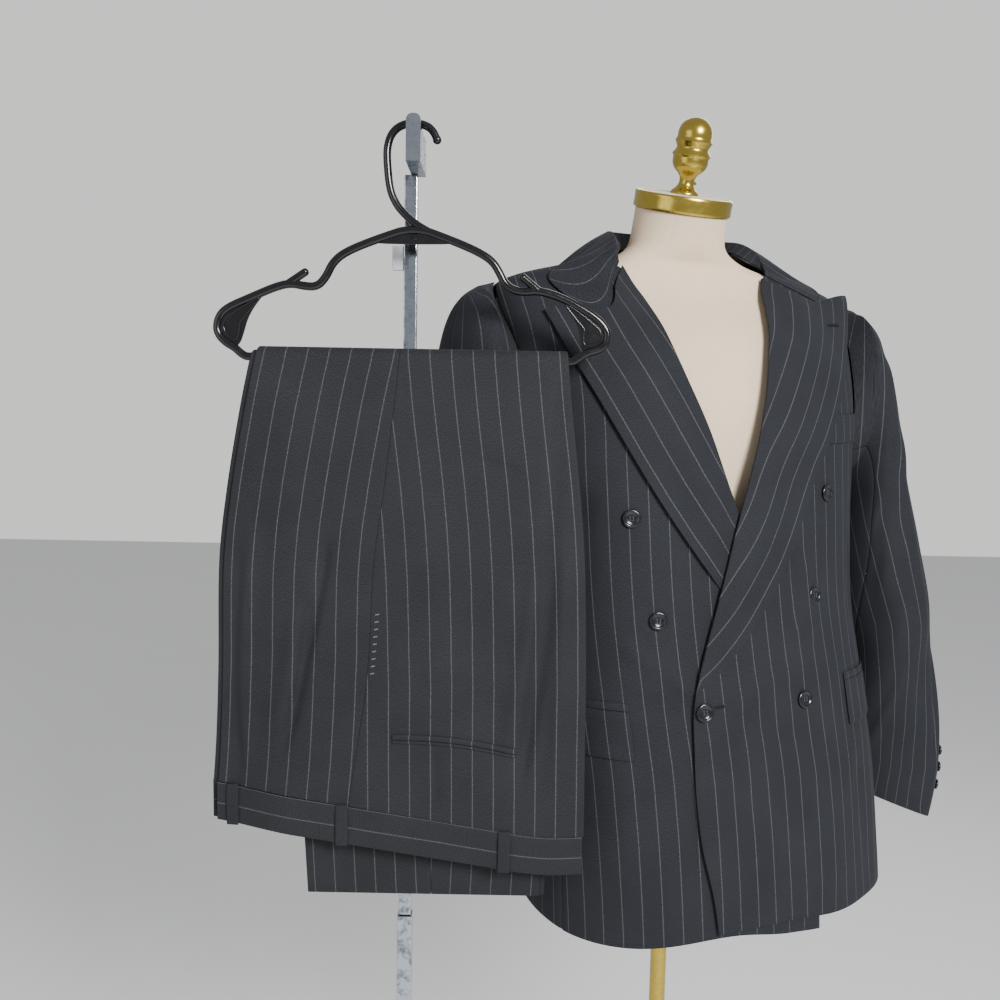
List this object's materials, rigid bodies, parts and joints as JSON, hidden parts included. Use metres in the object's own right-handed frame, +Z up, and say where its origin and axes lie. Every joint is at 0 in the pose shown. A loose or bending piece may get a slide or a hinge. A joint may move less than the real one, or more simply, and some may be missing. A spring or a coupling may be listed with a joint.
{
  "type": "two-piece suit on a dress form and a stand with a hanger",
  "caption": "Two-piece pinstripe suit: double-breasted jacket with peaked lapels on a limbless dress form, and folded trousers hung over the bar of a hanger on a slim stand.",
  "frame": {"origin": "centre of the underside of the dress form's round base, on the floor", "axes": "+Z up, -Y towards the front of the set, +X to the right of someone looking at its front; the jacket and form are turned 23 degrees about +Z from that view"},
  "size_m": [0.931, 0.4887, 1.7317],
  "materials": {
    "jacket_cloth": "dark charcoal-navy pinstriped worsted wool",
    "trouser_cloth": "the same pinstriped worsted wool",
    "button": "glossy dark navy",
    "linen": "cream linen cover",
    "gold_metal": "satin gold",
    "chrome": "polished",
    "grey_paint": "light grey",
    "hanger_plastic": "glossy black"
  },
  "bodies": {
    "root": {"back_pocket_welt_left": "trouser_cloth", "back_pocket_welt_right": "trouser_cloth", "belt_loop_left_1": "trouser_cloth", "belt_loop_left_2": "trouser_cloth", "belt_loop_left_3": "trouser_cloth", "belt_loop_right_1": "trouser_cloth", "belt_loop_right_2": "trouser_cloth", "belt_loop_right_3": "trouser_cloth", "breast_pocket_welt": "jacket_cloth", "button_fastened": "button", "button_left_bottom": "button", "button_left_middle": "button", "button_left_top": "button", "button_right_middle": "button", "button_right_top": "button", "collar": "jacket_cloth", "cuff_button_left_1": "button", "cuff_button_left_2": "button", "cuff_button_left_3": "button", "cuff_button_right_1": "button", "cuff_button_right_2": "button", "cuff_button_right_3": "button", "form_base": "gold_metal", "form_finial": "gold_metal", "form_neck_cap": "gold_metal", "form_pole": "gold_metal", "form_torso": "linen", "hanger": "hanger_plastic", "jacket_back_left": "jacket_cloth", "jacket_back_right": "jacket_cloth", "jacket_front_left": "jacket_cloth", "jacket_front_right": "jacket_cloth", "jacket_side_left": "jacket_cloth", "jacket_side_right": "jacket_cloth", "lapel_left": "jacket_cloth", "lapel_right": "jacket_cloth", "pocket_flap_left": "jacket_cloth", "pocket_flap_right": "jacket_cloth", "pocket_jet_left": "jacket_cloth", "pocket_jet_right": "jacket_cloth", "sleeve_left_under": "jacket_cloth", "sleeve_left_upper": "jacket_cloth", "sleeve_right_under": "jacket_cloth", "sleeve_right_upper": "jacket_cloth", "stand_arm": "chrome", "stand_base": "chrome", "stand_bracket": "grey_paint", "stand_lower_tube": "chrome", "stand_upright": "chrome", "trousers_back_left": "trouser_cloth", "trousers_back_right": "trouser_cloth", "trousers_front_left": "trouser_cloth", "trousers_front_right": "trouser_cloth", "waistband_left": "trouser_cloth", "waistband_right": "trouser_cloth"}
  },
  "joints": []
}
